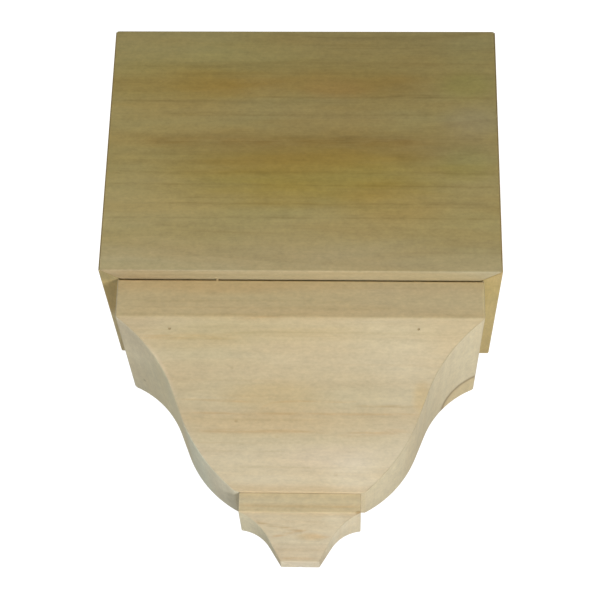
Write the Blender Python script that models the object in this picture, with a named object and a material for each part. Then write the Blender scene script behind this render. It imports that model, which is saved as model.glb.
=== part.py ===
# Crown moulding block: a wooden block that stands between two runs of crown moulding.
# The front faces -Y, the wall is the plane y = 0 and the ceiling lies on the top edges, +Z.
# z = 0 is the underside of the box, and the mitred moulding and its drop hang below it.
# A section is drawn as (inset, z): how far behind the moulding's band face, and how high.

import math

import bmesh
import bpy
from mathutils import Vector

# Box of four boards, open to the ceiling
BOX_WIDTH = 0.160
BOX_DEPTH = 0.080
BOX_HEIGHT = 0.113
BOARD_THICKNESS = 0.019
BACK_THICKNESS = 0.013

# Crown moulding under the box, its slopes in degrees below level
CROWN_INSET = 0.007
CROWN_THICKNESS = 0.019
BAND_HEIGHT = 0.0166
COVE_RADIUS = 0.0395
COVE_START_DEG = 22.9
WAIST_DEG = 68.6
WAIST_LENGTH = 0.0107
BELLY_RADIUS = 0.0472
BELLY_END_DEG = 28.9

# Drop under the crown moulding
FASCIA_STEP = 0.0018
FASCIA_HEIGHT = 0.0079
DROP_COVE_RADIUS = 0.016
DROP_COVE_START_DEG = 6.0
DROP_SLOPE_DEG = 58.4
DROP_SLOPE_LENGTH = 0.0094

# Clearance between two pieces that touch, and the fineness of the curves
JOINT_GAP = 0.0003
ARC_STEP_DEG = 4.0

# Colours of the bare wood, linear
BOX_COLOUR = (0.48, 0.38, 0.19)
CROWN_COLOUR = (0.62, 0.50, 0.30)
DROP_COLOUR = (0.66, 0.55, 0.36)
BACK_COLOUR = (0.56, 0.45, 0.26)

# The box's front corners and the moulding's, in plan
HALF_WIDTH = BOX_WIDTH / 2
CROWN_HALF_WIDTH = HALF_WIDTH - CROWN_INSET
CROWN_DEPTH = BOX_DEPTH - CROWN_INSET

UP = Vector((0, 0, 1))
REAR = Vector((0, 1, 0))
OUTWARD = {"front": -REAR, "left": Vector((-1, 0, 0)), "right": Vector((1, 0, 0))}


def clear_objects():
    for obj in list(bpy.data.objects):
        bpy.data.objects.remove(obj, do_unlink=True)


def wood(name, colour):
    material = bpy.data.materials.new(name)
    material.use_nodes = True
    shader = material.node_tree.nodes["Principled BSDF"]
    shader.inputs["Base Color"].default_value = (*colour, 1)
    shader.inputs["Roughness"].default_value = 0.6
    shader.inputs["Metallic"].default_value = 0.0
    return material


def finish_piece(name, bm, material):
    bmesh.ops.recalc_face_normals(bm, faces=bm.faces)
    mesh = bpy.data.meshes.new(name)
    bm.to_mesh(mesh)
    bm.free()
    mesh.materials.append(material)
    piece = bpy.data.objects.new(name, mesh)
    bpy.context.scene.collection.objects.link(piece)
    return piece


def plank(low, high):
    # A sawn board between two opposite corners
    bm = bmesh.new()
    bmesh.ops.create_cube(bm, size=1)
    for vert in bm.verts:
        for axis in range(3):
            vert.co[axis] = high[axis] if vert.co[axis] > 0 else low[axis]
    return bm


def saw(bm, point, keep):
    # Saws the piece through a point and keeps the side that the keep direction points to
    geometry = bm.verts[:] + bm.edges[:] + bm.faces[:]
    bmesh.ops.bisect_plane(bm, geom=geometry, plane_co=point, plane_no=keep, clear_inner=True)
    bmesh.ops.holes_fill(bm, edges=bm.edges[:])


def saw_mitre(bm, side, corner_x, corner_y, keep_front):
    # A 45 degree cut in plan, in from a front corner, for the front piece or for its return
    outward = OUTWARD[side]
    front_side = (OUTWARD["front"] - outward).normalized()
    keep = front_side if keep_front else -front_side
    corner = outward * corner_x - REAR * corner_y
    saw(bm, corner + keep * JOINT_GAP / 2, keep)


def arc(start, radius, first_deg, last_deg):
    # Points of an arc after its start, from one slope below level to another
    steps = max(1, math.ceil(abs(last_deg - first_deg) / ARC_STEP_DEG))
    first = math.radians(first_deg)
    turn = math.copysign(radius, last_deg - first_deg)
    points = []
    for step in range(1, steps + 1):
        slope = math.radians(first_deg + (last_deg - first_deg) * step / steps)
        along = turn * (math.sin(slope) - math.sin(first))
        down = turn * (math.cos(slope) - math.cos(first))
        points.append(start + Vector((along, down)))
    return points


def ramp(start, length, slope_deg):
    slope = math.radians(slope_deg)
    return start + length * Vector((math.cos(slope), -math.sin(slope)))


def crown_face():
    # The ogee that shows: band, cove, steep waist and belly
    face = [Vector((0, -JOINT_GAP)), Vector((0, -JOINT_GAP - BAND_HEIGHT))]
    face += arc(face[-1], COVE_RADIUS, COVE_START_DEG, WAIST_DEG)
    face.append(ramp(face[-1], WAIST_LENGTH, WAIST_DEG))
    face += arc(face[-1], BELLY_RADIUS, WAIST_DEG, BELLY_END_DEG)
    return face


def crown_back():
    # The moulding's flat sloping back: the direction into the block, and its distance along it
    face = crown_face()
    slope = face[-1] - face[1]
    inward = Vector((-slope.y, slope.x)).normalized()
    outermost = min(inward.dot(point) for point in face)
    return inward, outermost + CROWN_THICKNESS


def crown_section():
    face = crown_face()
    inward, distance = crown_back()
    edges = [face[-1].y, face[0].y]
    return face + [Vector(((distance - inward.y * z) / inward.x, z)) for z in edges]


def drop_section():
    # Fascia, small cove and slope, solid to the middle of the block
    crown_end = crown_face()[-1]
    face = [crown_end + Vector((FASCIA_STEP, -JOINT_GAP))]
    face.append(face[0] - Vector((0, FASCIA_HEIGHT)))
    face += arc(face[-1], DROP_COVE_RADIUS, DROP_COVE_START_DEG, DROP_SLOPE_DEG)
    face.append(ramp(face[-1], DROP_SLOPE_LENGTH, DROP_SLOPE_DEG))
    middle = max(CROWN_HALF_WIDTH, CROWN_DEPTH)
    return face + [Vector((middle, face[-1].y)), Vector((middle, face[0].y))]


def band_face(side):
    # How far the band's face stands out from the origin on each side
    return CROWN_DEPTH if side == "front" else CROWN_HALF_WIDTH


def moulding_length(side, section):
    # The section run out along one side of the block, longer than needed
    bm = bmesh.new()
    outward = OUTWARD[side]
    along = outward.cross(UP) * BOX_WIDTH
    loops = []
    for end in (-along, along):
        verts = [bm.verts.new(outward * (band_face(side) - inset) + UP * z + end)
                 for inset, z in section]
        face = bm.faces.new(verts)
        loops += face.edges
    bmesh.ops.bridge_loops(bm, edges=loops)
    return bm


def box_boards(material):
    depth, width, thick = BOX_DEPTH, HALF_WIDTH, BOARD_THICKNESS
    front = plank((-width, -depth, 0), (width, thick - depth, BOX_HEIGHT))
    for side in ("left", "right"):
        saw_mitre(front, side, width, depth, keep_front=True)
    finish_piece("box_front_board", front, material)
    left = plank((-width, -depth, 0), (thick - width, 0, BOX_HEIGHT))
    right = plank((width - thick, -depth, 0), (width, 0, BOX_HEIGHT))
    for side, board in (("left", left), ("right", right)):
        saw_mitre(board, side, width, depth, keep_front=False)
        finish_piece("box_" + side + "_side", board, material)


def back_board(material):
    # Fits between the box's sides and, below them, between the sloping backs of the moulding
    reach = HALF_WIDTH - BOARD_THICKNESS - JOINT_GAP
    bottom = crown_face()[-1].y
    bm = plank((-reach, -BACK_THICKNESS, bottom), (reach, 0, BOX_HEIGHT))
    inward, distance = crown_back()
    for side, outward in OUTWARD.items():
        keep = UP * inward.y - outward * inward.x
        on_back = outward * band_face(side) + keep * (distance + JOINT_GAP)
        saw(bm, on_back, keep)
    finish_piece("back_board", bm, material)


def mitred_front(name, section, material):
    bm = moulding_length("front", section)
    for side in ("left", "right"):
        saw_mitre(bm, side, CROWN_HALF_WIDTH, CROWN_DEPTH, keep_front=True)
    saw(bm, Vector((0, 0, 0)), -REAR)
    finish_piece(name, bm, material)


def mitred_return(name, side, section, material):
    bm = moulding_length(side, section)
    saw_mitre(bm, side, CROWN_HALF_WIDTH, CROWN_DEPTH, keep_front=False)
    saw(bm, Vector((0, 0, 0)), -REAR)
    saw(bm, OUTWARD[side] * JOINT_GAP / 2, OUTWARD[side])
    finish_piece(name, bm, material)


def mitred_moulding(name, section, material):
    mitred_front(name + "_front", section, material)
    for side in ("left", "right"):
        mitred_return(name + "_" + side + "_return", side, section, material)


def main():
    clear_objects()
    box_boards(wood("box wood", BOX_COLOUR))
    back_board(wood("back wood", BACK_COLOUR))
    mitred_moulding("crown", crown_section(), wood("crown wood", CROWN_COLOUR))
    mitred_moulding("drop", drop_section(), wood("drop wood", DROP_COLOUR))


main()
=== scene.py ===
# Crown moulding block in bare pale wood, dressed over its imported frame
import math

import bmesh
import bpy
from mathutils import Matrix, Vector


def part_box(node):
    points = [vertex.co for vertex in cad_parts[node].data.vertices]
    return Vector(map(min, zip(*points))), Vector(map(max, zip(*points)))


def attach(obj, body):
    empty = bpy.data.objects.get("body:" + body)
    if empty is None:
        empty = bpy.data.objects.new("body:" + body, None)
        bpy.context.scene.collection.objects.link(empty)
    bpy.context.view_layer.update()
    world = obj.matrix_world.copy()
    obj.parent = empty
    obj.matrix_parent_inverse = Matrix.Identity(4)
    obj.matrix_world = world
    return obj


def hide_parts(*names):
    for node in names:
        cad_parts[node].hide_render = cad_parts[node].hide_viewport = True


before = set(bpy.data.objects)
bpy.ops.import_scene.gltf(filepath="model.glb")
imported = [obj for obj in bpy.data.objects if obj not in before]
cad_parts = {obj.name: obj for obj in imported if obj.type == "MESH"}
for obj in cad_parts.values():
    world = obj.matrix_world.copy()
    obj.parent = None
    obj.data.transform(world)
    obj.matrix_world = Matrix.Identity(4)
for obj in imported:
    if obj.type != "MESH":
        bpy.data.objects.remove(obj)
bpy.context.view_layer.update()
print("frame loaded:", len(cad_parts), "pieces")

up = Vector((0, 0, 1))
rear = Vector((0, 1, 0))
outward = {"front": -rear, "left": Vector((-1, 0, 0)), "right": Vector((1, 0, 0))}


# Camera and studio

cameraView = {
    "place": (0.02121, -0.69659, -0.30223),
    "lens": 104.5,          # mm
    "sensor": 36,           # mm
    "clipStart": 0.01,
    "pitch": 25.161,        # degrees, looking up
    "yaw": -1.943,          # degrees, negative to the left
    "roll": 1.197,
}

studio = {
    "floorHeight": -0.75,
    "floorSize": 9.0,
    "floorSquares": 8,
    "floorColour": (0.86, 0.86, 0.85),
    "floorRoughness": 0.9,
    "floorGlow": 0.30,      # keeps the floor pale to the eye, and throws no light
    "backdrop": 1.15,       # how bright the backdrop looks
    "domeTop": (1.0, 0.973, 0.91),
    "domeBottom": (0.1, 0.1, 0.1),
    "domeStrength": 0.487,
    "aim": (0.0, -0.04, 0.01),
}

lamps = {
    "key": {"place": (0.38, -0.45, -0.72), "size": 0.25, "power": 5.75, "colour": (1.01, 1.0, 0.995)},
    "left fill": {"place": (-1.0, -0.5, -0.2), "size": 0.9, "power": 3.4, "colour": (0.98, 1.0, 1.015)},
}


def makeCamera():
    data = bpy.data.cameras.new("camera")
    data.lens = cameraView["lens"]
    data.sensor_width = cameraView["sensor"]
    data.clip_start = cameraView["clipStart"]
    camera = bpy.data.objects.new("camera", data)
    bpy.context.scene.collection.objects.link(camera)
    turn = Matrix.Rotation(math.radians(-cameraView["yaw"]), 4, "Z")
    tilt = Matrix.Rotation(math.radians(90 + cameraView["pitch"]), 4, "X")
    roll = Matrix.Rotation(math.radians(cameraView["roll"]), 4, "Z")
    camera.matrix_world = Matrix.Translation(cameraView["place"]) @ turn @ tilt @ roll
    bpy.context.scene.camera = camera


def makeLamp(name, lamp):
    data = bpy.data.lights.new(name, "AREA")
    data.shape = "DISK"
    data.size = lamp["size"]
    data.energy = lamp["power"]
    data.color = lamp["colour"]
    light = bpy.data.objects.new(name, data)
    bpy.context.scene.collection.objects.link(light)
    light.location = lamp["place"]
    aim = Vector(studio["aim"]) - Vector(lamp["place"])
    light.rotation_mode = "QUATERNION"
    light.rotation_quaternion = aim.to_track_quat("-Z", "Y")
    light.visible_camera = False


def makeDome():
    # Soft light from all round, brighter from above, and a white backdrop
    world = bpy.data.worlds.new("studio")
    bpy.context.scene.world = world
    world.use_nodes = True
    tree = world.node_tree
    tree.nodes.clear()
    place = tree.nodes.new("ShaderNodeTexCoord")
    split = tree.nodes.new("ShaderNodeSeparateXYZ")
    tree.links.new(place.outputs["Generated"], split.inputs[0])
    height = tree.nodes.new("ShaderNodeMapRange")
    height.inputs["From Min"].default_value = -1
    height.inputs["From Max"].default_value = 1
    tree.links.new(split.outputs["Z"], height.inputs["Value"])
    sky = tree.nodes.new("ShaderNodeMix")
    sky.data_type = "RGBA"
    tree.links.new(height.outputs["Result"], sky.inputs["Factor"])
    sky.inputs["A"].default_value = (*studio["domeBottom"], 1)
    sky.inputs["B"].default_value = (*studio["domeTop"], 1)
    dome = tree.nodes.new("ShaderNodeBackground")
    dome.inputs["Strength"].default_value = studio["domeStrength"]
    tree.links.new(sky.outputs["Result"], dome.inputs["Color"])
    backdrop = tree.nodes.new("ShaderNodeBackground")
    backdrop.inputs["Color"].default_value = (1, 1, 1, 1)
    backdrop.inputs["Strength"].default_value = studio["backdrop"]
    seen = tree.nodes.new("ShaderNodeLightPath")
    blend = tree.nodes.new("ShaderNodeMixShader")
    tree.links.new(seen.outputs["Is Camera Ray"], blend.inputs[0])
    tree.links.new(dome.outputs[0], blend.inputs[1])
    tree.links.new(backdrop.outputs[0], blend.inputs[2])
    out = tree.nodes.new("ShaderNodeOutputWorld")
    tree.links.new(blend.outputs[0], out.inputs["Surface"])


def makeFloor():
    squares = studio["floorSquares"]
    bm = bmesh.new()
    bmesh.ops.create_grid(bm, x_segments=squares, y_segments=squares, size=studio["floorSize"] / 2)
    mesh = bpy.data.meshes.new("floor")
    bm.to_mesh(mesh)
    bm.free()
    floor = bpy.data.objects.new("floor", mesh)
    floor.location.z = studio["floorHeight"]
    bpy.context.scene.collection.objects.link(floor)
    material = bpy.data.materials.new("floor paint")
    material.use_nodes = True
    tree = material.node_tree
    shader = tree.nodes["Principled BSDF"]
    shader.inputs["Base Color"].default_value = (*studio["floorColour"], 1)
    shader.inputs["Roughness"].default_value = studio["floorRoughness"]
    glow = tree.nodes.new("ShaderNodeEmission")
    glow.inputs["Color"].default_value = (*studio["floorColour"], 1)
    glow.inputs["Strength"].default_value = studio["floorGlow"]
    lit = tree.nodes.new("ShaderNodeAddShader")
    tree.links.new(shader.outputs[0], lit.inputs[0])
    tree.links.new(glow.outputs[0], lit.inputs[1])
    seen = tree.nodes.new("ShaderNodeLightPath")
    blend = tree.nodes.new("ShaderNodeMixShader")
    tree.links.new(seen.outputs["Is Camera Ray"], blend.inputs[0])
    tree.links.new(shader.outputs[0], blend.inputs[1])
    tree.links.new(lit.outputs[0], blend.inputs[2])
    tree.links.new(blend.outputs[0], tree.nodes["Material Output"].inputs["Surface"])
    mesh.materials.append(material)


bpy.context.scene.view_settings.view_transform = "Standard"
makeCamera()
makeDome()
for name, lamp in lamps.items():
    makeLamp(name, lamp)
makeFloor()
print("camera, lights and floor ready")


# Node helpers

def feed(tree, socket, value):
    # Links an output, or sets a plain value
    if isinstance(value, bpy.types.NodeSocket):
        tree.links.new(value, socket)
    elif socket.type == "RGBA" and len(value) == 3:
        socket.default_value = (*value, 1)
    else:
        socket.default_value = value


def calc(tree, operation, *values, clamp=False):
    node = tree.nodes.new("ShaderNodeMath")
    node.operation = operation
    node.use_clamp = clamp
    for socket, value in zip(node.inputs, values):
        feed(tree, socket, value)
    return node.outputs[0]


def calcVector(tree, operation, *values):
    node = tree.nodes.new("ShaderNodeVectorMath")
    node.operation = operation
    for socket, value in zip(node.inputs, values):
        feed(tree, socket, value)
    return node.outputs["Value" if operation == "LENGTH" else "Vector"]


def ease(tree, value, low, high):
    # 0 below low, 1 above high, smooth between
    node = tree.nodes.new("ShaderNodeMapRange")
    node.interpolation_type = "SMOOTHSTEP"
    for label, item in (("Value", value), ("From Min", low), ("From Max", high)):
        feed(tree, node.inputs[label], item)
    return node.outputs["Result"]


def bell(tree, value):
    # 1 where the value is 0, and less on both sides of it
    square = calc(tree, "MULTIPLY", value, value)
    return calc(tree, "EXPONENT", calc(tree, "MULTIPLY", square, -1.0))


def tintColour(tree, mask, colour, tint):
    # Multiplies a colour by a tint where the mask is 1
    node = tree.nodes.new("ShaderNodeMix")
    node.data_type = "RGBA"
    node.blend_type = "MULTIPLY"
    feed(tree, node.inputs["Factor"], mask)
    feed(tree, node.inputs["A"], colour)
    feed(tree, node.inputs["B"], tint)
    return node.outputs["Result"]


def noise(tree, vector, scales, detail=2.0, roughness=0.5):
    # Noise with a scale of its own for each coordinate
    node = tree.nodes.new("ShaderNodeTexNoise")
    feed(tree, node.inputs["Vector"], calcVector(tree, "MULTIPLY", vector, scales))
    node.inputs["Scale"].default_value = 1.0
    node.inputs["Detail"].default_value = detail
    node.inputs["Roughness"].default_value = roughness
    return node.outputs["Fac"]


def evenNoise(tree, vector, scales, detail=2.0):
    # Noise round 0 instead of round a half
    return calc(tree, "SUBTRACT", noise(tree, vector, scales, detail), 0.5)


def splitVector(tree, vector):
    node = tree.nodes.new("ShaderNodeSeparateXYZ")
    feed(tree, node.inputs[0], vector)
    return node.outputs


def joinVector(tree, x, y, z):
    node = tree.nodes.new("ShaderNodeCombineXYZ")
    for socket, value in zip(node.inputs, (x, y, z)):
        feed(tree, socket, value)
    return node.outputs[0]


def socketKind(value):
    if isinstance(value, float):
        return "NodeSocketFloat"
    return "NodeSocketColor" if len(value) == 4 else "NodeSocketVector"


def newGroup(name, inputs, outputs):
    tree = bpy.data.node_groups.new(name, "ShaderNodeTree")
    for label, value in inputs.items():
        socket = tree.interface.new_socket(label, in_out="INPUT", socket_type=socketKind(value))
        socket.default_value = value
    for label, kind in outputs.items():
        tree.interface.new_socket(label, in_out="OUTPUT", socket_type="NodeSocket" + kind)
    given = tree.nodes.new("NodeGroupInput").outputs
    result = tree.nodes.new("NodeGroupOutput").inputs
    return tree, given, result


def placeGroup(tree, group, values):
    node = tree.nodes.new("ShaderNodeGroup")
    node.node_tree = group
    for label, value in values.items():
        feed(tree, node.inputs[label], value)
    return node.outputs


# Effects that the woods share. Their X runs along the grain, in metres

# How closely the noises repeat along the grain, and across it
grainScale = {
    "wide": (5, 34, 34),            # slow wander of the rings
    "tight": (20, 160, 160),        # quick wander of the rings
    "patchy": (18, 150, 150),       # where the rings fade
    "hair": (6, 460, 460),
    "warm": (13, 85, 85),
    "cool": (17, 60, -60),
    "bend": (26, 900, 1),           # of a grain line: along it, and from line to line
    "broken": (90, 900, 900),       # gaps in a grain line
    "ragged": (40, 260, 260),       # the edge of a soft patch
}

# Fibres of four sizes, and the share of each
fibres = {
    "coarse": {"scale": (22, 420, 420), "detail": 2.0, "roughness": 0.5, "share": 0.17},
    "fine": {"scale": (60, 1500, 1500), "detail": 3.0, "roughness": 0.6, "share": 0.15},
    "fleck": {"scale": (600, 1100, 1100), "detail": 2.0, "roughness": 0.6, "share": 0.36},
    "mottle": {"scale": (190, 380, 380), "detail": 2.0, "roughness": 0.5, "share": 0.32},
}

figure = {
    "quickWander": 0.25,            # next to a slow wander of 1
    "ringSharpness": 3.0,           # how late in its width a ring darkens
    "ringEnd": 0.93,                # where in its width it begins to pale again
    "palestRing": 0.15,             # next to 1 for the darkest
    "ringFade": (0.3, 0.6),         # gone where the noise is below the first, full above the second
    "ringDip": 0.35,                # how far a dark ring lies below the fibres
    "hairRange": (0.54, 0.74),      # the noise at which a hair begins and is full
    "driftRange": (0.42, 0.66),
    "lineGaps": (0.35, 0.65),
    "palestLine": 0.25,             # a line's strength in its gaps
    "patchCut": 0.0003,             # over this length a patch ends between its two corners
}


def woodGrainGroup():
    # Growth rings round a pith, fibres and flecks, and slow drifts of warm and cool colour
    tree, given, result = newGroup("wood grain", {
        "Vector": (0.0, 0.0, 0.0),
        "Pith": (0.0, 0.06, 0.02),
        "Ring Spacing": 0.005,
        "Ring Tilt": 0.05,
        "Waviness": 0.004,
        "Ring Strength": 0.5,
        "Fibre Strength": 0.4,
        "Hair Strength": 0.5,
        "Drift Strength": 0.5,
        "Wood": (0.6, 0.5, 0.3, 1.0),
        "Ring Tint": (0.8, 0.7, 0.6, 1.0),
        "Warm Tint": (1.0, 0.9, 0.8, 1.0),
        "Cool Tint": (0.9, 1.0, 0.9, 1.0),
    }, {"Color": "Color", "Fibre": "Float", "Height": "Float"})
    place = calcVector(tree, "ADD", given["Vector"], given["Pith"])

    wide = evenNoise(tree, place, grainScale["wide"])
    tight = evenNoise(tree, place, grainScale["tight"])
    wander = calc(tree, "MULTIPLY_ADD", tight, figure["quickWander"], wide)
    x, y, z = splitVector(tree, calcVector(tree, "SUBTRACT", given["Vector"], given["Pith"]))
    lean = calc(tree, "MULTIPLY", x, given["Ring Tilt"])
    across = calcVector(tree, "LENGTH", joinVector(tree, 0.0, calc(tree, "ADD", y, lean), z))
    radius = calc(tree, "MULTIPLY_ADD", wander, given["Waviness"], across)
    turns = calc(tree, "DIVIDE", radius, given["Ring Spacing"])

    phase = calc(tree, "FRACT", turns)
    rise = calc(tree, "POWER", phase, figure["ringSharpness"])
    fall = calc(tree, "SUBTRACT", 1.0, ease(tree, phase, figure["ringEnd"], 1.0))
    each = tree.nodes.new("ShaderNodeTexWhiteNoise")
    each.noise_dimensions = "1D"
    feed(tree, each.inputs["W"], calc(tree, "FLOOR", turns))
    palest = figure["palestRing"]
    own = calc(tree, "MULTIPLY_ADD", each.outputs["Value"], 1 - palest, palest)
    patchy = ease(tree, noise(tree, place, grainScale["patchy"]), *figure["ringFade"])
    ring = calc(tree, "MULTIPLY", rise, fall)
    rings = calc(tree, "MULTIPLY", ring, calc(tree, "MULTIPLY", own, patchy))

    fibre = 0.0
    for kind in fibres.values():
        strands = noise(tree, place, kind["scale"], kind["detail"], kind["roughness"])
        fibre = calc(tree, "MULTIPLY_ADD", strands, kind["share"], fibre)
    hair = ease(tree, noise(tree, place, grainScale["hair"]), *figure["hairRange"])
    warm = ease(tree, noise(tree, place, grainScale["warm"], 2.5), *figure["driftRange"])
    cool = ease(tree, noise(tree, place, grainScale["cool"], 2.5), *figure["driftRange"])

    ringMarks = calc(tree, "MULTIPLY", rings, given["Ring Strength"])
    hairMarks = calc(tree, "MULTIPLY", hair, given["Hair Strength"])
    marks = calc(tree, "ADD", ringMarks, hairMarks, clamp=True)
    colour = tintColour(tree, marks, given["Wood"], given["Ring Tint"])
    warmth = calc(tree, "MULTIPLY", warm, given["Drift Strength"])
    colour = tintColour(tree, warmth, colour, given["Warm Tint"])
    coolness = calc(tree, "MULTIPLY", cool, given["Drift Strength"])
    colour = tintColour(tree, coolness, colour, given["Cool Tint"])
    streak = calc(tree, "MULTIPLY", calc(tree, "SUBTRACT", fibre, 0.5), given["Fibre Strength"])
    shade = calc(tree, "ADD", 1.0, streak)
    colour = calcVector(tree, "MULTIPLY", colour, joinVector(tree, shade, shade, shade))
    feed(tree, result["Color"], colour)
    feed(tree, result["Fibre"], fibre)
    feed(tree, result["Height"], calc(tree, "MULTIPLY_ADD", rings, -figure["ringDip"], fibre))
    return tree


def grainLineGroup():
    # One line that wanders along the grain between two ends. Hook bends its start down
    tree, given, result = newGroup("grain line", {
        "Vector": (0.0, 0.0, 0.0),
        "Height": 0.0,
        "Slope": 0.0,
        "Bow": 0.0,
        "Hook": 0.0,
        "Hook Length": 0.003,
        "Width": 0.0006,
        "Wander": 0.001,
        "Start": -1.0,
        "End": 1.0,
        "Fade": 0.012,
    }, {"Mask": "Float"})
    x, y, z = splitVector(tree, given["Vector"])
    bend = evenNoise(tree, joinVector(tree, x, given["Height"], 0.0), grainScale["bend"], 3.0)
    bend = calc(tree, "MULTIPLY", bend, given["Wander"])
    path = calc(tree, "MULTIPLY_ADD", x, given["Slope"], given["Height"])
    path = calc(tree, "MULTIPLY_ADD", calc(tree, "MULTIPLY", x, x), given["Bow"], path)
    reach = calc(tree, "DIVIDE", calc(tree, "SUBTRACT", given["Start"], x), given["Hook Length"])
    hook = calc(tree, "MULTIPLY", given["Hook"], calc(tree, "EXPONENT", reach))
    path = calc(tree, "SUBTRACT", path, hook)
    away = calc(tree, "SUBTRACT", calc(tree, "SUBTRACT", z, path), bend)
    band = bell(tree, calc(tree, "DIVIDE", away, given["Width"]))
    begins = ease(tree, x, given["Start"], calc(tree, "ADD", given["Start"], given["Fade"]))
    ends = ease(tree, x, calc(tree, "SUBTRACT", given["End"], given["Fade"]), given["End"])
    length = calc(tree, "MULTIPLY", begins, calc(tree, "SUBTRACT", 1.0, ends))
    broken = ease(tree, noise(tree, given["Vector"], grainScale["broken"]), *figure["lineGaps"])
    palest = figure["palestLine"]
    worn = calc(tree, "MULTIPLY_ADD", broken, 1 - palest, palest)
    feed(tree, result["Mask"], calc(tree, "MULTIPLY", calc(tree, "MULTIPLY", band, length), worn))
    return tree


def within(tree, vector, least, most):
    # 1 between two corners, 0 outside them
    above = calcVector(tree, "SUBTRACT", vector, least)
    below = calcVector(tree, "SUBTRACT", most, vector)
    x, y, z = splitVector(tree, calcVector(tree, "MINIMUM", above, below))
    nearest = calc(tree, "MINIMUM", calc(tree, "MINIMUM", x, y), z)
    return ease(tree, nearest, 0.0, figure["patchCut"])


def softPatchGroup():
    # A soft-edged area of another tint and the rim round it, kept between two corners
    tree, given, result = newGroup("soft patch", {
        "Vector": (0.0, 0.0, 0.0),
        "Centre": (0.0, 0.0, 0.0),
        "Size": (0.02, 0.02, 0.02),
        "Softness": 0.5,
        "Raggedness": 0.4,
        "Rim Width": 0.05,
        "Least": (-1.0, -1.0, -1.0),
        "Most": (1.0, 1.0, 1.0),
    }, {"Mask": "Float", "Rim": "Float"})
    inside = within(tree, given["Vector"], given["Least"], given["Most"])
    away = calcVector(tree, "SUBTRACT", given["Vector"], given["Centre"])
    away = calcVector(tree, "DIVIDE", away, given["Size"])
    rough = evenNoise(tree, given["Vector"], grainScale["ragged"], 3.0)
    ragged = calc(tree, "MULTIPLY", rough, given["Raggedness"])
    reach = calc(tree, "ADD", calcVector(tree, "LENGTH", away), ragged)
    inner = calc(tree, "SUBTRACT", 1.0, given["Softness"])
    outer = calc(tree, "ADD", 1.0, given["Softness"])
    mask = calc(tree, "SUBTRACT", 1.0, ease(tree, reach, inner, outer))
    feed(tree, result["Mask"], calc(tree, "MULTIPLY", mask, inside))
    off = calc(tree, "DIVIDE", calc(tree, "SUBTRACT", reach, 1.0), given["Rim Width"])
    feed(tree, result["Rim"], calc(tree, "MULTIPLY", bell(tree, off), inside))
    return tree


woodGrain = woodGrainGroup()
grainLine = grainLineGroup()
softPatch = softPatchGroup()
print("shared effects ready")


# Woods. Tints multiply the wood's own colour

woodSurface = {
    "fibreRoughness": 0.25,         # what the fibres add to the roughness
    "reliefDepth": 0.0002,
}


def grainVector(tree, along):
    # Object coordinates with X turned along the grain
    place = tree.nodes.new("ShaderNodeTexCoord").outputs["Object"]
    if along == "x":
        return place
    x, y, z = splitVector(tree, place)
    return joinVector(tree, y, x, z) if along == "y" else joinVector(tree, z, y, x)


def nearMitre(tree, vector, width):
    # 1 on the left mitre, where x equals y in plan, and less away from it
    x, y, z = splitVector(tree, vector)
    return bell(tree, calc(tree, "DIVIDE", calc(tree, "SUBTRACT", x, y), width))


def addPatches(tree, vector, colour, patches):
    for area in patches:
        shape = placeGroup(tree, softPatch, {"Vector": vector} | area["shape"])
        mask = shape["Mask"]
        if area["mitreWidth"]:
            mask = calc(tree, "MULTIPLY", mask, nearMitre(tree, vector, area["mitreWidth"]))
        colour = tintColour(tree, mask, colour, area["tint"])
        if area["rimTint"]:
            colour = tintColour(tree, shape["Rim"], colour, area["rimTint"])
    return colour


def addLines(tree, vector, colour, lines):
    for stroke in lines:
        mask = placeGroup(tree, grainLine, {"Vector": vector} | stroke["shape"])["Mask"]
        colour = tintColour(tree, mask, colour, stroke["tint"])
    return colour


def makeWood(name, look):
    material = bpy.data.materials.new(name)
    material.use_nodes = True
    tree = material.node_tree
    shader = tree.nodes["Principled BSDF"]
    vector = grainVector(tree, look["along"])
    grain = placeGroup(tree, woodGrain, {"Vector": vector} | look["grain"])
    colour = addPatches(tree, vector, grain["Color"], look["patches"])
    colour = addLines(tree, vector, colour, look["lines"])
    feed(tree, shader.inputs["Base Color"], colour)
    rough = calc(tree, "MULTIPLY_ADD", grain["Fibre"], woodSurface["fibreRoughness"], look["roughness"])
    feed(tree, shader.inputs["Roughness"], rough)
    shader.inputs["Specular IOR Level"].default_value = look["specular"]
    relief = tree.nodes.new("ShaderNodeBump")
    relief.inputs["Strength"].default_value = look["relief"]
    relief.inputs["Distance"].default_value = woodSurface["reliefDepth"]
    feed(tree, relief.inputs["Height"], grain["Height"])
    feed(tree, shader.inputs["Normal"], relief.outputs["Normal"])
    return material


def patch(x, z, length, height, tint, softness=0.6, y=-0.05, depth=0.2, ragged=0.4,
          rimWidth=0.05, rimTint=None, mitreWidth=None, least=(-1, -1, -1), most=(1, 1, 1)):
    # A soft area of another tint, for stains and pale places and also for painted light and shade. x
    # runs along the grain, and depth reaches across the board
    shape = {"Centre": (x, y, z), "Size": (length, depth, height), "Softness": softness,
             "Raggedness": ragged, "Rim Width": rimWidth, "Least": least, "Most": most}
    return {"shape": shape, "tint": tint, "rimTint": rimTint, "mitreWidth": mitreWidth}


def line(height, start, end, tint, width=0.0005, slope=0.0, bow=0.0, wander=0.0005,
         hook=0.0, fade=0.012):
    # A single line of the grain, at a height and between two places along it
    shape = {"Height": height, "Start": start, "End": end, "Width": width, "Slope": slope,
             "Bow": bow, "Wander": wander, "Hook": hook, "Fade": fade}
    return {"shape": shape, "tint": tint}


darkLine = (0.86, 0.84, 0.80)
faintLine = (0.93, 0.92, 0.89)
warmLine = (0.96, 0.88, 0.80)
brownLine = (0.88, 0.81, 0.73)
paleLine = (1.10, 1.06, 1.04)

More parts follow.
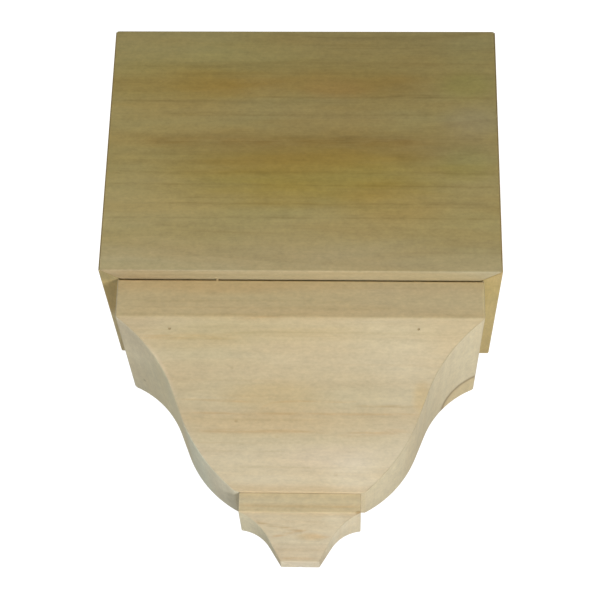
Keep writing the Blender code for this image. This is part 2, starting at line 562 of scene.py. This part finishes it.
boxFrontLook = {
    "along": "x",
    "grain": {
        "Pith": (0.0, 0.02, 0.05), "Ring Spacing": 0.0062, "Ring Tilt": 0.04, "Waviness": 0.008,
        "Ring Strength": 0.50, "Hair Strength": 0.30, "Fibre Strength": 0.88, "Drift Strength": 0.60,
        "Wood": (0.450, 0.363, 0.151), "Ring Tint": (0.80, 0.77, 0.72),
        "Warm Tint": (1.0, 0.93, 0.82), "Cool Tint": (0.94, 0.98, 0.98),
    },
    "patches": [
        patch(-0.052, 0.0880, 0.034, 0.0095, (0.97, 0.92, 0.76), ragged=0.7),
        patch(-0.040, 0.0865, 0.014, 0.0060, (1.0, 0.97, 0.86)),
        patch(0.010, 0.0866, 0.034, 0.0060, (0.99, 0.91, 0.80), ragged=0.7),
        patch(-0.014, 0.0560, 0.056, 0.0085, (0.94, 0.88, 0.81), ragged=0.7),
        patch(0.010, 0.0440, 0.044, 0.0120, (0.98, 0.95, 0.70), ragged=0.7),
        patch(0.037, 0.0310, 0.020, 0.0090, (1.02, 0.95, 0.84)),
        patch(-0.050, 0.0745, 0.026, 0.0050, (1.0, 0.95, 0.88)),
        patch(0.011, 0.0700, 0.022, 0.0070, (1.0, 0.94, 0.90)),
        patch(0.0677, 0.0861, 0.011, 0.0060, (0.94, 1.0, 0.84)),
        patch(0.0669, 0.0489, 0.011, 0.0070, (0.93, 0.99, 0.90)),
        patch(0.0, -0.0040, 0.3, 0.0130, (1.10, 1.13, 1.46), softness=0.7, ragged=0.1),
        patch(-0.012, 0.0480, 0.054, 0.0150, (0.95, 0.92, 0.78), softness=0.7, ragged=0.7),
        patch(0.012, 0.0900, 0.030, 0.0080, (0.98, 0.95, 0.85), softness=0.7, ragged=0.7),
        patch(0.0, 0.0555, 0.100, 0.0035, (0.96, 0.96, 0.96)),
        patch(-0.058, 0.1030, 0.034, 0.0100, (1.05, 1.07, 1.10), softness=0.7),
        patch(0.050, 0.0900, 0.034, 0.0240, (0.97, 0.96, 0.95), softness=0.7),
        patch(-0.072, 0.0220, 0.030, 0.0160, (1.02, 1.03, 1.14), softness=0.7),
        patch(0.010, 0.0130, 0.090, 0.0090, (1.0, 1.0, 1.08), softness=0.7),
        patch(-0.075, 0.0550, 0.035, 0.0600, (1.06, 1.07, 1.04), softness=0.8),
        patch(0.020, 0.0950, 0.080, 0.0160, (0.99, 0.98, 0.90), softness=0.7),
        patch(0.0, -0.0005, 0.6, 0.0010, (1.07, 1.08, 1.20), softness=0.3, ragged=0.0),
        patch(-0.0900, -0.0005, 0.0500, 0.0012, (0.90, 0.84, 0.81), softness=0.6, ragged=0.0),
        patch(0.0600, -0.0005, 0.0400, 0.0010, (1.01, 1.05, 1.11), softness=0.5, ragged=0.0),
        patch(0.0700, 0.1020, 0.0120, 0.0100, (1.01, 1.07, 1.12), softness=0.7),
        patch(0.0700, 0.0680, 0.0110, 0.0070, (1.01, 1.02, 1.22), softness=0.7),
        patch(0.0640, 0.0540, 0.0150, 0.0070, (0.94, 0.93, 0.96), softness=0.7),
        patch(-0.0250, 0.1010, 0.0220, 0.0080, (1.04, 1.07, 1.05), softness=0.7),
        patch(-0.0063, 0.0356, 0.0170, 0.0050, (1.03, 0.98, 0.86), softness=0.7),
        patch(0.0300, 0.0350, 0.0170, 0.0060, (0.99, 0.97, 0.91), softness=0.7),
        patch(0.0620, 0.0060, 0.0260, 0.0060, (0.93, 0.93, 0.90), softness=0.7),
        patch(-0.0630, 0.0430, 0.0120, 0.0050, (1.00, 1.02, 1.12), softness=0.7),
        patch(-0.0270, 0.0845, 0.0260, 0.0045, (1.00, 0.96, 0.89), softness=0.7),
        patch(0.0380, 0.0850, 0.0160, 0.0050, (0.98, 0.94, 0.88), softness=0.7),
        patch(0.0130, 0.0840, 0.0120, 0.0050, (1.07, 1.00, 1.02), softness=0.7),
    ],
    "lines": [
        line(0.1106, -0.020, 0.080, darkLine, width=0.0010, slope=-0.066, bow=1.1),
        line(0.0786, -0.085, -0.034, darkLine),
        line(0.0803, -0.030, 0.085, darkLine),
        line(0.0808, 0.028, 0.064, darkLine, width=0.0009, wander=0.003),
        line(0.0592, -0.070, 0.058, brownLine, width=0.0022),
        line(0.0590, -0.066, 0.040, faintLine),
        line(0.0538, 0.030, 0.062, darkLine, width=0.0010, slope=-0.030),
        line(0.0446, -0.085, 0.085, darkLine, width=0.0008),
        line(0.0388, -0.085, 0.085, darkLine, slope=-0.006),
        line(0.0330, -0.055, 0.030, faintLine),
        line(0.0303, -0.068, 0.080, darkLine, wander=0.0008),
        line(0.0238, -0.085, 0.085, darkLine, wander=0.0008),
        line(0.0165, -0.060, 0.000, faintLine, slope=-0.03),
        line(0.0950, -0.070, 0.060, faintLine, width=0.0008),
        line(0.0720, -0.060, 0.075, faintLine, width=0.0008),
    ],
    "roughness": 0.48, "specular": 0.3, "relief": 0.25,
}

boxSideLook = boxFrontLook | {
    "along": "y",
    "grain": boxFrontLook["grain"] | {"Pith": (0.3, 0.03, 0.02), "Wood": (0.56, 0.43, 0.20)},
    "patches": [
        patch(-0.0770, 0.0, 0.0060, 0.004, (0.72, 0.76, 0.81), y=-0.08, depth=0.03),
        patch(-0.0160, 0.0, 0.0260, 0.004, (1.20, 1.33, 1.75), y=-0.08, depth=0.03, softness=0.15),
        patch(-0.0640, 0.0, 0.0100, 0.004, (0.95, 0.98, 0.94), y=0.08, depth=0.03),
        patch(-0.0250, 0.0, 0.0300, 0.004, (1.03, 1.07, 1.09), y=0.08, depth=0.03),
    ],
    "lines": [],
}

backLook = boxFrontLook | {
    "along": "z",
    "grain": boxFrontLook["grain"] | {"Pith": (0.1, 0.09, 0.015), "Wood": (0.58, 0.47, 0.27)},
    "patches": [],
    "lines": [],
}

crownFrontLook = {
    "along": "x",
    "grain": {
        "Pith": (0.5, 0.06, -0.03), "Ring Spacing": 0.0058, "Ring Tilt": 0.03, "Waviness": 0.007,
        "Ring Strength": 0.34, "Hair Strength": 0.25, "Fibre Strength": 0.74, "Drift Strength": 0.45,
        "Wood": (0.604, 0.507, 0.325), "Ring Tint": (0.90, 0.82, 0.74),
        "Warm Tint": (1.0, 0.94, 0.86), "Cool Tint": (0.96, 0.98, 0.98),
    },
    "patches": [
        patch(0.0, -0.0080, 0.6, 0.0090, (1.080, 1.050, 0.93), softness=0.1, ragged=0.05),
        patch(-0.035, -0.0035, 0.045, 0.0030, (1.02, 0.98, 0.94), ragged=0.9),
        patch(0.048, -0.0070, 0.026, 0.0080, (0.96, 0.97, 1.0)),
        patch(0.030, -0.0035, 0.050, 0.0030, (1.01, 1.03, 1.08)),
        patch(0.025, -0.0145, 0.050, 0.0030, (0.96, 0.93, 0.91)),
        patch(-0.022, -0.0200, 0.036, 0.0030, (0.94, 0.93, 0.87)),
        patch(0.036, -0.0240, 0.016, 0.0080, (1.0, 1.03, 1.07)),
        patch(-0.045, -0.0231, 0.020, 0.0020, (1.0, 0.96, 0.91)),
        patch(0.0, -0.0420, 0.060, 0.0040, (1.03, 1.05, 1.06)),
        patch(-0.010, -0.0570, 0.040, 0.0030, (0.97, 0.96, 0.92)),
        patch(0.022, -0.0690, 0.010, 0.0050, (1.06, 1.09, 1.15)),
        patch(-0.010, -0.0415, 0.019, 0.0055, (1.0, 0.95, 0.86)),
        patch(-0.013, -0.0512, 0.032, 0.0038, (1.0, 0.95, 0.88)),
        patch(0.0125, -0.0627, 0.017, 0.0035, (1.03, 1.02, 1.06)),
        patch(0.0, -0.0640, 0.070, 0.0080, (1.03, 1.06, 1.15)),
        patch(0.0, -0.0725, 0.050, 0.0014, (0.99, 0.95, 0.94)),
        patch(0.0487, -0.0412, 0.0034, 0.0050, (1.02, 0.95, 0.83), softness=0.5, ragged=0.8),
        patch(-0.0680, -0.0182, 0.0110, 0.0020, (0.91, 0.89, 0.87), softness=0.8),
        patch(0.0, -0.0700, 0.045, 0.0014, (1.02, 1.04, 1.08), softness=0.7),
        patch(0.0728, -0.0080, 0.0006, 0.0090, (1.12, 1.16, 1.12), softness=0.5, ragged=0.1),
        patch(-0.0090, -0.0560, 0.0008, 0.0005, (0.92, 0.90, 0.86)),
        patch(0.0146, -0.0682, 0.0008, 0.0005, (0.92, 0.90, 0.86)),
        patch(-0.0272, -0.0312, 0.0006, 0.0004, (0.90, 0.88, 0.85)),
        patch(-0.0254, -0.0505, 0.0007, 0.0005, (0.86, 0.82, 0.78)),
        # Painted light: lifts the shaded underside step at the crown's foot, just above the drop
        patch(0.0, -0.0735, 0.6, 0.0006, (1.26, 1.28, 1.32), softness=0.1, ragged=0.0),
        patch(-0.0500, -0.0330, 0.030, 0.0090, (1.15, 1.16, 1.27), softness=0.5, mitreWidth=0.0013),
        patch(-0.0400, -0.0560, 0.030, 0.0080, (1.06, 1.07, 1.13), softness=0.5, mitreWidth=0.0013),
        patch(0.0440, -0.0440, 0.0110, 0.0140, (1.03, 1.04, 1.08), softness=0.8),
        patch(-0.0360, -0.0240, 0.0170, 0.0060, (0.95, 0.975, 0.96), softness=0.8),
        patch(-0.0300, -0.0370, 0.0160, 0.0030, (1.0, 1.03, 1.05), softness=0.7),
    ],
    "lines": [
        line(-0.0125, -0.020, 0.045, faintLine, width=0.0010),
        line(-0.0155, -0.074, 0.010, faintLine),
        line(-0.0098, -0.074, 0.030, faintLine, width=0.0008),
        line(-0.0168, -0.028, -0.002, warmLine, width=0.0008),
        line(-0.0217, -0.068, -0.020, warmLine, width=0.0008),
        line(-0.0205, -0.036, 0.070, faintLine),
        line(-0.0440, -0.052, -0.012, warmLine, slope=-0.030),
        line(-0.0431, -0.0168, 0.024, warmLine, hook=0.0046, fade=0.003),
        line(-0.0446, 0.018, 0.052, brownLine, width=0.0005),
        line(-0.0477, -0.050, 0.052, warmLine, wander=0.0008),
        line(-0.0500, -0.040, 0.010, faintLine),
        line(-0.0541, -0.046, 0.018, warmLine, width=0.0007),
        line(-0.0556, 0.012, 0.048, warmLine, width=0.0011, slope=0.040),
        line(-0.0610, -0.040, 0.030, faintLine),
        line(-0.0660, -0.030, 0.034, faintLine),
    ],
    "roughness": 0.45, "specular": 0.32, "relief": 0.22,
}

# Painted shade: the left return's wood is darker and cooler than the right return's, standing in for
# the shade on this side
leftReturnShadedLook = crownFrontLook | {
    "along": "y",
    "grain": crownFrontLook["grain"] | {
        "Pith": (0.2, 0.09, 0.02), "Ring Strength": 0.12, "Hair Strength": 0.1, "Drift Strength": 0.25,
        "Wood": (0.63, 0.57, 0.41),
    },
    "patches": [
        # Painted light and shade: the full-length bands and the larger patches here lighten or darken
        # parts of the profile as the light falls on it
        patch(0.0, -0.0370, 0.6, 0.0120, (1.11, 1.13, 1.09), softness=0.8, ragged=0.2),
        patch(0.0, -0.0660, 0.6, 0.0120, (1.03, 1.07, 1.15), softness=0.7, ragged=0.2),
        patch(-0.0150, -0.0194, 0.0013, 0.0010, (0.70, 0.69, 0.63), y=-0.0671, depth=0.0006),
        patch(-0.0610, -0.0205, 0.0130, 0.0065, (0.89, 0.87, 0.87), softness=0.8, ragged=0.2),
        patch(-0.0140, -0.0255, 0.0150, 0.0060, (1.08, 1.07, 1.05), softness=0.8, ragged=0.2),
        patch(0.0, -0.0590, 0.6, 0.0060, (1.08, 1.14, 1.17), softness=0.6, ragged=0.2),
    ],
    "lines": [],
}

# Painted light: the right return's wood is paler and warmer than the left return's, standing in for the
# light on this side
rightReturnLitLook = crownFrontLook | {
    "along": "y",
    "grain": crownFrontLook["grain"] | {
        "Pith": (0.4, 0.10, 0.01), "Ring Strength": 0.15, "Hair Strength": 0.1, "Drift Strength": 0.25,
        "Wood": (0.72, 0.635, 0.44),
    },
    "patches": [
        patch(0.0, -0.0170, 0.0151, 0.0095, (0.98, 0.93, 0.82), softness=0.03, ragged=0.12,
              y=0.07, depth=0.3, rimWidth=0.085, rimTint=(0.54, 0.48, 0.43),
              least=(-0.05, 0.0565, -0.05), most=(0.0, 0.08, -0.0168)),
    ],
    "lines": [],
}

dropFrontLook = crownFrontLook | {
    "grain": crownFrontLook["grain"] | {
        "Pith": (0.7, -0.045, -0.10), "Ring Spacing": 0.0045, "Wood": (0.625, 0.543, 0.384),
    },
    "patches": [
        patch(0.0, -0.0772, 0.6, 0.0041, (1.13, 1.14, 1.08), softness=0.1, ragged=0.05),
        patch(0.0, -0.0795, 0.060, 0.0021, (0.96, 0.91, 0.84), softness=0.4),
        patch(0.0045, -0.0877, 0.0055, 0.0013, (0.98, 0.89, 0.77), ragged=1.2),
        patch(0.0, -0.0938, 0.6, 0.0032, (0.965, 0.935, 0.915), softness=0.5),
        patch(0.0, -0.0970, 0.6, 0.0005, (1.25, 1.31, 1.45), softness=0.3, ragged=0.0),
        patch(-0.0246, -0.0772, 0.0005, 0.0042, (1.10, 1.12, 1.15), softness=0.5, ragged=0.1),
        patch(0.0238, -0.0809, 0.0011, 0.0006, (0.74, 0.66, 0.55)),
        patch(0.0135, -0.0825, 0.0040, 0.0015, (1.06, 1.09, 1.13)),
    ],
    "lines": [
        line(-0.0857, -0.0185, 0.0020, (0.80, 0.72, 0.62), slope=-0.14, wander=0.0006, fade=0.002),
        line(-0.0859, -0.0125, 0.0040, (0.90, 0.80, 0.71), slope=0.18, wander=0.0006, fade=0.002),
        line(-0.0877, 0.0010, 0.0140, warmLine, width=0.0007, fade=0.004),
        line(-0.0905, -0.0130, 0.0140, faintLine, fade=0.004),
        line(-0.0925, -0.0100, 0.0110, faintLine, fade=0.004),
        line(-0.0955, -0.0090, 0.0090, warmLine, fade=0.004),
        line(-0.0785, -0.0300, 0.0300, warmLine, width=0.0005),
        line(-0.0811, -0.0330, 0.0330, paleLine, width=0.0004, wander=0.0003),
    ],
}

dropReturnLook = dropFrontLook | {
    "along": "y",
    "grain": dropFrontLook["grain"] | {"Pith": (0.9, 0.05, -0.06)},
    "patches": [
        patch(0.0, -0.0970, 0.6, 0.0005, (1.25, 1.31, 1.45), softness=0.3, ragged=0.0),
        # Painted light: both drop returns are lifted, the right one much more, standing in for the
        # right side catching more light
        patch(0.0, -0.0850, 0.6, 0.0100, (1.06, 1.12, 1.14), y=-0.03, depth=0.03, softness=0.3),
        patch(0.0, -0.0850, 0.6, 0.0100, (1.20, 1.24, 1.30), y=0.03, depth=0.03, softness=0.3),
    ],
    "lines": [],
}

woods = {
    "box front": makeWood("box front poplar", boxFrontLook),
    "box side": makeWood("box side poplar", boxSideLook),
    "back": makeWood("back board poplar", backLook),
    "crown front": makeWood("crown front poplar", crownFrontLook),
    "crown left": makeWood("crown left poplar", leftReturnShadedLook),
    "crown right": makeWood("crown right poplar", rightReturnLitLook),
    "drop front": makeWood("drop front poplar", dropFrontLook),
    "drop return": makeWood("drop return poplar", dropReturnLook),
}
print("woods ready:", len(woods))


# Shapes

shaping = {
    "sharpAngle": 32,       # degrees, edges that bend more stay sharp
    "arrisSegments": 3,
    "cornerSteps": 4,       # of a rounded corner in an outline
    "endSteps": 4,          # of the rounding at the end of a run
    "endShare": 0.4,        # an arris takes at most this share of a run
}
squareEnd = 90              # how far an arris turns at each kind of end, in degrees
mitreEnd = 45


def finishPiece(name, bm, wood, node):
    bmesh.ops.recalc_face_normals(bm, faces=bm.faces)
    mesh = bpy.data.meshes.new(name)
    bm.to_mesh(mesh)
    bm.free()
    mesh.materials.append(woods[wood])
    mesh.shade_smooth()
    mesh.set_sharp_from_angle(angle=math.radians(shaping["sharpAngle"]))
    piece = bpy.data.objects.new(name, mesh)
    bpy.context.scene.collection.objects.link(piece)
    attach(piece, "root")
    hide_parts(node)
    return piece


def easeArrises(bm, size):
    bmesh.ops.recalc_face_normals(bm, faces=bm.faces)
    bmesh.ops.bevel(bm, geom=bm.edges[:], offset=size, segments=shaping["arrisSegments"],
                    profile=0.5, affect="EDGES", clamp_overlap=True)


def saw(bm, point, keep):
    # Saws a piece through a point and keeps the side that the keep direction points to
    geometry = bm.verts[:] + bm.edges[:] + bm.faces[:]
    bmesh.ops.bisect_plane(bm, geom=geometry, plane_co=point, plane_no=keep, clear_inner=True)
    bmesh.ops.holes_fill(bm, edges=bm.edges[:])


def sawnBoard(low, high):
    bm = bmesh.new()
    bmesh.ops.create_cube(bm, size=1)
    for vert in bm.verts:
        for axis in range(3):
            vert.co[axis] = high[axis] if vert.co[axis] > 0 else low[axis]
    return bm


box = {
    "halfWidth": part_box("box_right_side")[1].x,
    "depth": -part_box("box_front_board")[0].y,
    "height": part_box("box_front_board")[1].z,
    "thickness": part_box("box_front_board")[1].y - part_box("box_front_board")[0].y,
    "mitreGap": 0.0003,
    "arris": 0.0006,        # how far the edges are eased
}


def sawBoxMitre(bm, side, keepFront):
    frontSide = (outward["front"] - outward[side]).normalized()
    keep = frontSide if keepFront else -frontSide
    corner = outward[side] * box["halfWidth"] - rear * box["depth"]
    saw(bm, corner + keep * box["mitreGap"] / 2, keep)


def makeBoxFront():
    half, depth = box["halfWidth"], box["depth"]
    bm = sawnBoard((-half, -depth, 0), (half, box["thickness"] - depth, box["height"]))
    for side in ("left", "right"):
        sawBoxMitre(bm, side, keepFront=True)
    easeArrises(bm, box["arris"])
    finishPiece("box_front_poplar", bm, "box front", "box_front_board")


def makeBoxSide(side):
    outer = outward[side].x * box["halfWidth"]
    inner = outward[side].x * (box["halfWidth"] - box["thickness"])
    low = (min(outer, inner), -box["depth"], 0)
    high = (max(outer, inner), 0, box["height"])
    bm = sawnBoard(low, high)
    sawBoxMitre(bm, side, keepFront=False)
    easeArrises(bm, box["arris"])
    finishPiece("box_" + side + "_poplar", bm, "box side", "box_" + side + "_side")


makeBoxFront()
makeBoxSide("left")
makeBoxSide("right")
print("box boards made")

crown = {
    "halfWidth": -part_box("crown_left_return")[0].x,
    "depth": -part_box("crown_front")[0].y,
    "top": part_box("crown_front")[1].z,
    "bandHeight": 0.0166,
    "coveRadius": 0.0395,
    "coveStart": 22.9,      # slopes in degrees below level
    "waist": 68.6,
    "waistLength": 0.0107,
    "bellyRadius": 0.0472,
    "bellyEnd": 28.9,
    "thickness": 0.019,
    "topArris": 0.0006,
    "bandArris": 0.0009,
    "lowArris": 0.00015,
    "endArris": 0.0004,
    "mitreArris": {"left": 0.0008, "right": 0.0003},
    "mitreGap": {"left": 0.0001, "right": 0.00012},
    "seam": 0.0003,         # planed off the front's top edge, under the box
    "seamDepth": 0.008,
    "contact": 0.00005,     # left open behind the seam
    "nib": {"place": (-0.0331, -0.0727, -0.0004), "size": (0.0012, 0.0010, 0.0007)},
    "arcStep": 2.0,         # degrees
    "bradHoles": {"front": [(-0.0517, -0.0678, -0.0196), (0.0470, -0.0682, -0.0193)],
                  "left": [(-0.0671, -0.0150, -0.0191)]},
    "bradRadius": 0.0006,
    "bradTaper": (0.7, 1.1),    # of the radius, at the bottom of the hole and at its mouth
    "bradSides": 16,
    "bradDepth": 0.0012,
    "bradDrop": {"front": 0.6, "left": 1.6},    # how far the hole leans down for one part outward
    "knock": 0.00096,       # how far in the left return's rear corner is knocked off
    "knockKeep": (1.0, -0.5, 0.6),              # the way to the wood that the knock leaves
}

drop = {
    "fasciaInset": crown["halfWidth"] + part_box("drop_left_return")[0].x,
    "top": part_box("drop_front")[1].z + 0.0002,     # tight under the crown
    "fasciaHeight": 0.0081,
    "coveRadius": 0.016,
    "coveStart": 6.0,
    "slope": 58.4,
    "slopeLength": 0.0094,
    "topArris": 0.00015,
    "fasciaArris": 0.0004,
    "lowArris": 0.0003,
    "endArris": 0.0003,
    "mitreArris": {"left": 0.0004, "right": 0.0003},
    "mitreGap": {"left": 0.0001, "right": 0.0001},
    "core": 0.0006,         # the three pieces stop this far from the rear centre
}


def arc(start, radius, first, last):
    # Points of an arc after its start, from one slope below level to another
    steps = max(2, math.ceil(abs(last - first) / crown["arcStep"]))
    turn = math.copysign(radius, last - first)
    begin = math.radians(first)
    points = []
    for step in range(1, steps + 1):
        slope = math.radians(first + (last - first) * step / steps)
        across = math.sin(slope) - math.sin(begin)
        down = math.cos(slope) - math.cos(begin)
        points.append(start + turn * Vector((across, down)))
    return points


def ramp(start, length, slope):
    turn = math.radians(slope)
    return start + length * Vector((math.cos(turn), -math.sin(turn)))


def roundCorner(points, index, size):
    # Replaces a corner by a small curve
    corner = points[index]
    before = corner + (points[index - 1] - corner).normalized() * size
    after = corner + (points[index + 1] - corner).normalized() * size
    steps = shaping["cornerSteps"]
    curve = []
    for step in range(steps + 1):
        t = step / steps
        curve.append(before * (1 - t) ** 2 + corner * 2 * t * (1 - t) + after * t ** 2)
    return points[:index] + curve + points[index + 1:]


def crownFace():
    face = [Vector((0, crown["top"])), Vector((0, crown["top"] - crown["bandHeight"]))]
    face += arc(face[-1], crown["coveRadius"], crown["coveStart"], crown["waist"])
    face.append(ramp(face[-1], crown["waistLength"], crown["waist"]))
    face += arc(face[-1], crown["bellyRadius"], crown["waist"], crown["bellyEnd"])
    return face


def crownBack():
    # The moulding's flat sloping back: the direction into the block, and its distance along it
    face = crownFace()
    slope = face[-1] - face[1]
    inward = Vector((-slope.y, slope.x)).normalized()
    return inward, min(inward.dot(point) for point in face) + crown["thickness"]


def crownOutline(side):
    # The face with its eased corners, then the bottom, the sloping back and the top,
    # which steps down along the seam at the front
    face = crownFace()
    top = -crown["contact"]
    inward, distance = crownBack()
    back = [Vector(((distance - inward.y * z) / inward.x, z)) for z in (face[-1].y, top)]
    face[0].y = crown["top"] - crown["seam"] if side == "front" else top
    points = face + back
    if side == "front":
        points += [Vector((crown["seamDepth"], top)), Vector((crown["seamDepth"], face[0].y))]
    points = roundCorner(points, len(face) - 1, crown["lowArris"])
    points = roundCorner(points, 1, crown["bandArris"])
    return roundCorner(points, 0, crown["topArris"])


def dropOutline():
    start = Vector((drop["fasciaInset"], drop["top"]))
    face = [start, start - Vector((0, drop["fasciaHeight"]))]
    face += arc(face[-1], drop["coveRadius"], drop["coveStart"], drop["slope"])
    face.append(ramp(face[-1], drop["slopeLength"], drop["slope"]))
    middle = crown["depth"] - drop["core"]
    points = face + [Vector((middle, face[-1].y)), Vector((middle, start.y))]
    points = roundCorner(points, len(face) - 1, drop["lowArris"])
    points = roundCorner(points, 1, drop["fasciaArris"])
    return roundCorner(points, 0, drop["topArris"])


def outlineNormals(points):
    # The direction out of the wood at each point of a closed outline
    normals = []
    for index, point in enumerate(points):
        run = points[(index + 1) % len(points)] - points[index - 1]
        normals.append(Vector((run.y, -run.x)).normalized())
    return normals


def roundedEnd(size, widest):
    # Rings of a rounded arris: how far each is from the end, and how far it is drawn in
    steps = shaping["endSteps"]
    rings = []
    for step in range(steps + 1):
        turn = math.radians(widest * (1 - step / steps))
        edge = math.cos(turn) if widest == mitreEnd else 1
        rings.append((size * (edge - math.sin(turn)), size * (1 - math.cos(turn))))
    return rings


def bandFace(side):
    # How far the band's face stands out from the origin on a side
    return crown["depth"] if side == "front" else crown["halfWidth"]


def sweep(side, outline, start, end):
    # Runs the outline along one side. start and end are pairs: the end's place at an inset,
    # and the rings of its arris
    bm = bmesh.new()
    normals = outlineNormals(outline)
    along = Vector((1, 0, 0)) if side == "front" else rear
    stations = [(start[0], shift, drawn, 1) for shift, drawn in start[1]]
    stations += [(end[0], shift, drawn, -1) for shift, drawn in reversed(end[1])]
    rings = []
    for place, shift, drawn, way in stations:
        ring = []
        for point, normal in zip(outline, normals):
            inset, z = point - normal * drawn
            room = end[0](inset) - start[0](inset)
            spot = place(inset) + way * min(shift, shaping["endShare"] * room)
            out = outward[side] * (bandFace(side) - inset)
            ring.append(bm.verts.new(out + up * z + along * spot))
        rings.append(ring)
    count = len(outline)
    for near, far in zip(rings, rings[1:]):
        for this in range(count):
            after = (this + 1) % count
            bm.faces.new((near[this], near[after], far[after], far[this]))
    bm.faces.new(rings[0])
    bm.faces.new(rings[-1])
    bmesh.ops.recalc_face_normals(bm, faces=bm.faces)
    return bm


def frontMoulding(outline, sizes):
    half = crown["halfWidth"]
    slack = {side: sizes["mitreGap"][side] / math.sqrt(2) for side in ("left", "right")}
    arris = {side: roundedEnd(sizes["mitreArris"][side], mitreEnd) for side in ("left", "right")}
    start = (lambda inset: inset - half + slack["left"], arris["left"])
    end = (lambda inset: half - inset - slack["right"], arris["right"])
    return sweep("front", outline, start, end)


def returnMoulding(side, outline, sizes):
    slack = sizes["mitreGap"][side] / math.sqrt(2)
    arris = roundedEnd(sizes["mitreArris"][side], mitreEnd)
    start = (lambda inset: inset - crown["depth"] + slack, arris)
    end = (lambda inset: 0.0, roundedEnd(sizes["endArris"], squareEnd))
    return sweep(side, outline, start, end)


def joinTool(piece, bm, operation):
    # Cuts the tool's shape out of the piece, or adds it, and then takes the tool away
    mesh = bpy.data.meshes.new("tool")
    bm.to_mesh(mesh)
    bm.free()
    tool = bpy.data.objects.new("tool", mesh)
    bpy.context.scene.collection.objects.link(tool)
    change = piece.modifiers.new("change", "BOOLEAN")
    change.operation = operation
    change.solver = "EXACT"
    change.object = tool
    shaped = piece.evaluated_get(bpy.context.evaluated_depsgraph_get())
    mesh = bpy.data.meshes.new_from_object(shaped)
    piece.modifiers.remove(change)
    mesh.name = piece.data.name
    piece.data = mesh
    bpy.data.objects.remove(tool, do_unlink=True)


def nibShape():
    # A shred of wood left standing in the seam
    place, size = crown["nib"]["place"], crown["nib"]["size"]
    bm = bmesh.new()
    bmesh.ops.create_icosphere(bm, subdivisions=1, radius=0.5)
    bmesh.ops.scale(bm, vec=size, verts=bm.verts)
    bmesh.ops.translate(bm, vec=place, verts=bm.verts)
    return bm


def bradShape(spots, face):
    # Small tapering punches that stand out of the moulding's face and lean down
    bm = bmesh.new()
    aim = (outward[face] - up * crown["bradDrop"][face]).normalized()
    turn = aim.to_track_quat("Z", "Y").to_matrix().to_4x4()
    inner, outer = [crown["bradRadius"] * share for share in crown["bradTaper"]]
    for spot in spots:
        bmesh.ops.create_cone(bm, cap_ends=True, segments=crown["bradSides"], radius1=inner,
                              radius2=outer, depth=crown["bradDepth"],
                              matrix=Matrix.Translation(spot) @ turn)
    return bm


def makeCrownFront():
    bm = frontMoulding(crownOutline("front"), crown)
    piece = finishPiece("crown_front_poplar", bm, "crown front", "crown_front")
    joinTool(piece, bradShape(crown["bradHoles"]["front"], "front"), "DIFFERENCE")
    joinTool(piece, nibShape(), "UNION")


def makeCrownLeft():
    bm = returnMoulding("left", crownOutline("left"), crown)
    corner = Vector((-crown["halfWidth"], 0, crown["top"] - crown["bandHeight"]))
    saw(bm, corner + Vector((crown["knock"], 0, 0)), Vector(crown["knockKeep"]).normalized())
    piece = finishPiece("crown_left_poplar", bm, "crown left", "crown_left_return")
    joinTool(piece, bradShape(crown["bradHoles"]["left"], "left"), "DIFFERENCE")


def makeCrownRight():
    bm = returnMoulding("right", crownOutline("right"), crown)
    finishPiece("crown_right_poplar", bm, "crown right", "crown_right_return")


def makeDropFront():
    bm = frontMoulding(dropOutline(), drop)
    finishPiece("drop_front_poplar", bm, "drop front", "drop_front")


def makeDropReturn(side):
    bm = returnMoulding(side, dropOutline(), drop)
    finishPiece("drop_" + side + "_poplar", bm, "drop return", "drop_" + side + "_return")


makeCrownFront()
makeCrownLeft()
makeCrownRight()
print("crown moulding made")
makeDropFront()
makeDropReturn("left")
makeDropReturn("right")
print("drop made")

back = {
    "reach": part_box("back_board")[1].x,
    "thickness": -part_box("back_board")[0].y,
    "gap": 0.0003,
    "arris": 0.0004,
}


def makeBack():
    # Fits between the box's sides and, below them, between the sloping backs of the moulding
    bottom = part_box("back_board")[0].z
    bm = sawnBoard((-back["reach"], -back["thickness"], bottom), (back["reach"], 0, box["height"]))
    inward, distance = crownBack()
    for side in outward:
        keep = up * inward.y - outward[side] * inward.x
        saw(bm, outward[side] * bandFace(side) + keep * (distance + back["gap"]), keep)
    easeArrises(bm, back["arris"])
    finishPiece("back_board_poplar", bm, "back", "back_board")


makeBack()
print("back board made")
